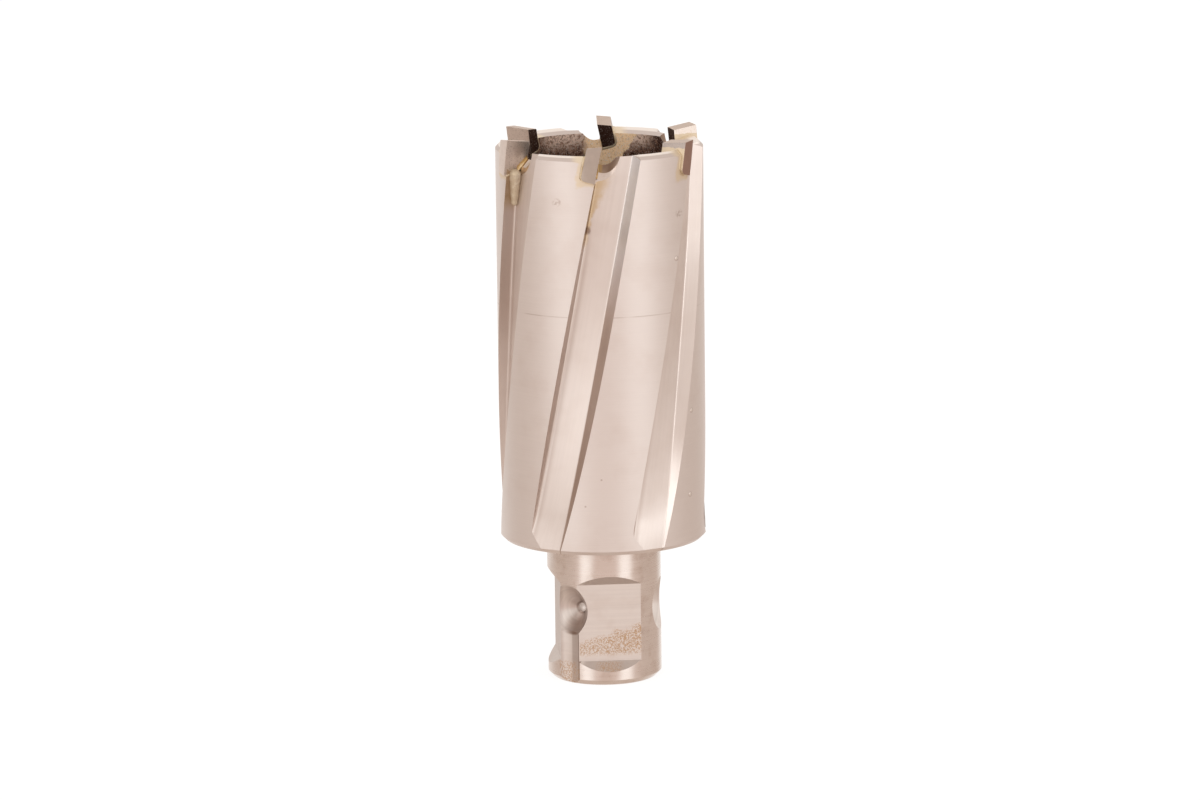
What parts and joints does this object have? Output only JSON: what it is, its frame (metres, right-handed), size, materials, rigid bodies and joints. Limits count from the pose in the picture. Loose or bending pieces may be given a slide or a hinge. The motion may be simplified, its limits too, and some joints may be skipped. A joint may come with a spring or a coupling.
{
  "type": "annular cutter",
  "caption": "hollow carbide-tipped annular cutter with helical flutes, a stepped-down clamping shank with flats and ball dimples, and a through bore for a pilot pin",
  "frame": {"origin": "centre of the shank's end face, on the axis; the cutter stands on its shank with the teeth up", "axes": "+Z along the axis from the shank to the teeth, -Y towards the front with the first tooth, +X to the right seen from the front"},
  "size_m": [0.0344, 0.0354, 0.0923],
  "materials": {
    "ground_steel": "ground and milled steel, satin, with a warm cast",
    "carbide": "ground cemented carbide, fine speckle",
    "braze": "silver-brass filler metal, as brazed"
  },
  "bodies": {
    "root": {"cutter_body": "ground_steel", "carbide_tooth_1": "carbide", "carbide_tooth_2": "carbide", "carbide_tooth_3": "carbide", "carbide_tooth_4": "carbide", "carbide_tooth_5": "carbide", "carbide_tooth_6": "carbide", "braze_seam_1": "braze", "braze_seam_2": "braze", "braze_seam_3": "braze", "braze_seam_4": "braze", "braze_seam_5": "braze", "braze_seam_6": "braze"}
  },
  "joints": []
}
